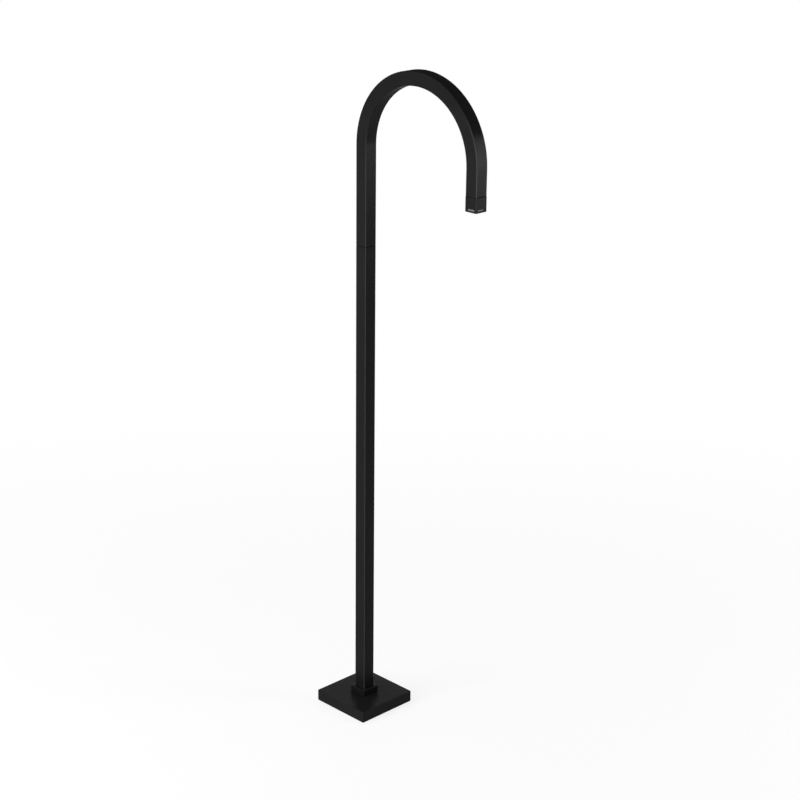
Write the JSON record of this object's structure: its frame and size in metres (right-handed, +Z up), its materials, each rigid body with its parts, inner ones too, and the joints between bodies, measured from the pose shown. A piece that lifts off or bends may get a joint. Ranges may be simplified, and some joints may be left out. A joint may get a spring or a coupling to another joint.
{
  "type": "floor standing bath filler",
  "caption": "Square column on a square floor plate with a bent square spout that swivels and pours down into a bath through a square air-mixing outlet.",
  "frame": {"origin": "on the floor, on the column's axis, in the middle of the four anchor holes", "axes": "+Z up the column; the spout reaches along +X at rest; the grub screws are at the rear, -X"},
  "size_m": [0.2961, 0.11, 1.073],
  "materials": {
    "black_coat": "satin black powder coat, fine even texture",
    "brass": "machined",
    "zinc_steel": "zinc plated",
    "stainless": "drawn",
    "black_steel": "black oxide",
    "black_rubber": "matt moulded",
    "black_plastic": "matt turned",
    "pale_plastic": "matt moulded"
  },
  "bodies": {
    "column": {"floor_gasket": "black_rubber", "floor_flange": "zinc_steel", "column_socket": "black_coat", "socket_screws": "black_steel", "socket_grub_screws": "black_steel", "column_foot": "brass", "foot_seal_rings": "black_rubber", "water_pipe": "stainless", "column_tube": "black_coat", "column_head": "brass", "head_seal_rings": "black_rubber", "slip_ring": "black_plastic", "swivel_stop_screw": "black_steel"},
    "spout": {"swivel_spigot": "brass", "swivel_seal_rings": "black_rubber", "spout_tube": "black_coat", "outlet_nipple": "brass", "cap_spacer": "black_plastic", "aerator_housing": "black_coat", "cap_grub_screw": "black_steel", "aerator_washer": "black_rubber", "diffuser_plate": "pale_plastic", "aerator_insert": "pale_plastic", "flow_screens": "stainless", "outlet_grille": "pale_plastic"},
    "cover": {"base_cover": "black_coat", "cover_rim_seal": "black_rubber"}
  },
  "joints": [
    {"name": "spout_swivel", "type": "hinge", "parent": "column", "child": "spout", "pos_m": [0, 0, 0.789], "axis": [0, 0, 1], "range_deg": [-90, 90]},
    {"name": "cover_slide", "type": "slide", "parent": "column", "child": "cover", "axis": [0, 0, 1], "range_m": [0, 0.92]}
  ]
}
